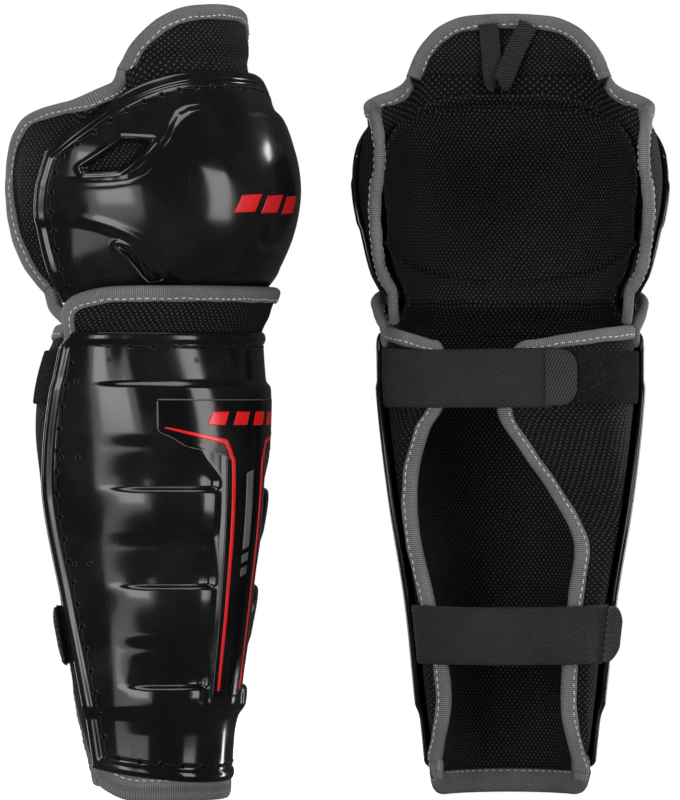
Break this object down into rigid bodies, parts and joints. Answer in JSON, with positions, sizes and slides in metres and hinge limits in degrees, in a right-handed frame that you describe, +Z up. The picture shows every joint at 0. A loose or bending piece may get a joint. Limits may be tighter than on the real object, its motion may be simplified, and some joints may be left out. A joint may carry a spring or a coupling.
{
  "type": "hockey shin guards",
  "caption": "Hockey shin guards with moulded shin shells, flexing knee caps, padded calf wraps with bound edges, and elastic straps closed by hook tabs.",
  "frame": {"origin": "centre of the pair's box on the surface they stand on", "axes": "+Z up along the legs; guard1 is turned 55 degrees and guard2 half a turn from facing -Y"},
  "size_m": [0.3966, 0.1934, 0.4752],
  "materials": {
    "shell_plastic": "glossy black moulded polyethylene",
    "printed_film": "glossy printed film, black with red lines",
    "foam": "closed cell foam",
    "mesh_cloth": "black spacer mesh over thin foam",
    "grey_binding": "ribbed grey binding tape with pale stitches",
    "elastic": "black woven elastic webbing",
    "hook_tape": "woven back of hook tape",
    "loop_pile": "fuzzy loop pile"
  },
  "bodies": {
    "guard1_shin": {"guard1_shin_shell": "shell_plastic", "guard1_shin_graphic_film": "printed_film", "guard1_shin_foam": "foam", "guard1_shin_liner": "mesh_cloth", "guard1_bottom_binding": "grey_binding", "guard1_shin_top_flap": "mesh_cloth", "guard1_shin_top_flap_binding": "grey_binding", "guard1_calf_wing_tab_side": "mesh_cloth", "guard1_calf_wing_binding_tab_side": "grey_binding", "guard1_calf_wing_sewn_side": "mesh_cloth", "guard1_calf_wing_binding_sewn_side": "grey_binding", "guard1_upper_strap_sewn_end": "elastic", "guard1_upper_loop_patch": "loop_pile", "guard1_lower_strap_sewn_end": "elastic", "guard1_lower_loop_patch": "loop_pile"},
    "guard1_knee": {"guard1_knee_cap": "shell_plastic", "guard1_knee_foam": "foam", "guard1_knee_liner": "mesh_cloth", "guard1_knee_wing_tab_side": "mesh_cloth", "guard1_knee_binding_tab_side": "grey_binding", "guard1_knee_wing_sewn_side": "mesh_cloth", "guard1_knee_binding_sewn_side": "grey_binding"},
    "guard1_thigh": {"guard1_thigh_flap": "mesh_cloth", "guard1_thigh_flap_binding": "grey_binding", "guard1_hanging_loop": "elastic"},
    "guard1_upper_strap": {"guard1_upper_strap": "elastic"},
    "guard1_upper_tab": {"guard1_upper_hook_tab": "hook_tape"},
    "guard1_lower_strap": {"guard1_lower_strap": "elastic"},
    "guard1_lower_tab": {"guard1_lower_hook_tab": "hook_tape"},
    "guard2_shin": {"guard2_shin_shell": "shell_plastic", "guard2_shin_graphic_film": "printed_film", "guard2_shin_foam": "foam", "guard2_shin_liner": "mesh_cloth", "guard2_bottom_binding": "grey_binding", "guard2_shin_top_flap": "mesh_cloth", "guard2_shin_top_flap_binding": "grey_binding", "guard2_calf_wing_tab_side": "mesh_cloth", "guard2_calf_wing_binding_tab_side": "grey_binding", "guard2_calf_wing_sewn_side": "mesh_cloth", "guard2_calf_wing_binding_sewn_side": "grey_binding", "guard2_upper_strap_sewn_end": "elastic", "guard2_upper_loop_patch": "loop_pile", "guard2_lower_strap_sewn_end": "elastic", "guard2_lower_loop_patch": "loop_pile"},
    "guard2_knee": {"guard2_knee_cap": "shell_plastic", "guard2_knee_foam": "foam", "guard2_knee_liner": "mesh_cloth", "guard2_knee_wing_tab_side": "mesh_cloth", "guard2_knee_binding_tab_side": "grey_binding", "guard2_knee_wing_sewn_side": "mesh_cloth", "guard2_knee_binding_sewn_side": "grey_binding"},
    "guard2_thigh": {"guard2_thigh_flap": "mesh_cloth", "guard2_thigh_flap_binding": "grey_binding", "guard2_hanging_loop": "elastic"},
    "guard2_upper_strap": {"guard2_upper_strap": "elastic"},
    "guard2_upper_tab": {"guard2_upper_hook_tab": "hook_tape"},
    "guard2_lower_strap": {"guard2_lower_strap": "elastic"},
    "guard2_lower_tab": {"guard2_lower_hook_tab": "hook_tape"}
  },
  "joints": [
    {"name": "guard1_knee_flex", "type": "hinge", "parent": "guard1_shin", "child": "guard1_knee", "pos_m": [-0.11897, -0.00208, 0.293], "axis": [-0.5736, -0.8192, 0], "range_deg": [0, 25]},
    {"name": "guard1_thigh_flap_fold", "type": "hinge", "parent": "guard1_knee", "child": "guard1_thigh", "pos_m": [-0.07965, -0.02961, 0.438], "axis": [-0.5736, -0.8192, 0], "range_deg": [-10, 25]},
    {"name": "guard1_upper_strap_swing", "type": "hinge", "parent": "guard1_shin", "child": "guard1_upper_strap", "pos_m": [-0.0831, 0.0654, 0.253], "axis": [-0.2324, 0.1171, -0.9656], "range_deg": [0, 80]},
    {"name": "guard1_upper_tab_peel", "type": "hinge", "parent": "guard1_upper_strap", "child": "guard1_upper_tab", "pos_m": [-0.17044, 0.00915, 0.253], "axis": [-0.2516, 0.1878, -0.9494], "range_deg": [0, 60]},
    {"name": "guard1_lower_strap_swing", "type": "hinge", "parent": "guard1_shin", "child": "guard1_lower_strap", "pos_m": [-0.09647, 0.05072, 0.099], "axis": [0.0629, -0.174, -0.9827], "range_deg": [0, 80]},
    {"name": "guard1_lower_tab_peel", "type": "hinge", "parent": "guard1_lower_strap", "child": "guard1_lower_tab", "pos_m": [-0.16627, -0.03657, 0.099], "axis": [0.1532, 0.016, -0.9881], "range_deg": [0, 60]},
    {"name": "guard2_knee_flex", "type": "hinge", "parent": "guard2_shin", "child": "guard2_knee", "pos_m": [0.10303, -0.00208, 0.293], "axis": [1, 0, 0], "range_deg": [0, 25]},
    {"name": "guard2_thigh_flap_fold", "type": "hinge", "parent": "guard2_knee", "child": "guard2_thigh", "pos_m": [0.10303, 0.04593, 0.438], "axis": [1, 0, 0], "range_deg": [-10, 25]},
    {"name": "guard2_upper_strap_swing", "type": "hinge", "parent": "guard2_shin", "child": "guard2_upper_strap", "pos_m": [0.02719, -0.0114, 0.253], "axis": [0.0374, -0.2575, -0.9656], "range_deg": [0, 80]},
    {"name": "guard2_upper_tab_peel", "type": "hinge", "parent": "guard2_upper_strap", "child": "guard2_upper_tab", "pos_m": [0.12336, -0.05068, 0.253], "axis": [-0.0095, -0.3139, -0.9494], "range_deg": [0, 60]},
    {"name": "guard2_lower_strap_swing", "type": "hinge", "parent": "guard2_shin", "child": "guard2_lower_strap", "pos_m": [0.04689, -0.01393, 0.099], "axis": [0.1065, 0.1513, -0.9827], "range_deg": [0, 80]},
    {"name": "guard2_lower_tab_peel", "type": "hinge", "parent": "guard2_lower_strap", "child": "guard2_lower_tab", "pos_m": [0.15842, -0.02103, 0.099], "axis": [-0.101, 0.1163, -0.9881], "range_deg": [0, 60]},
    {"name": "guard2_apart", "type": "slide", "parent": "guard1_shin", "child": "guard2_shin", "axis": [1, 0, 0], "range_m": [0, 0.1]}
  ]
}
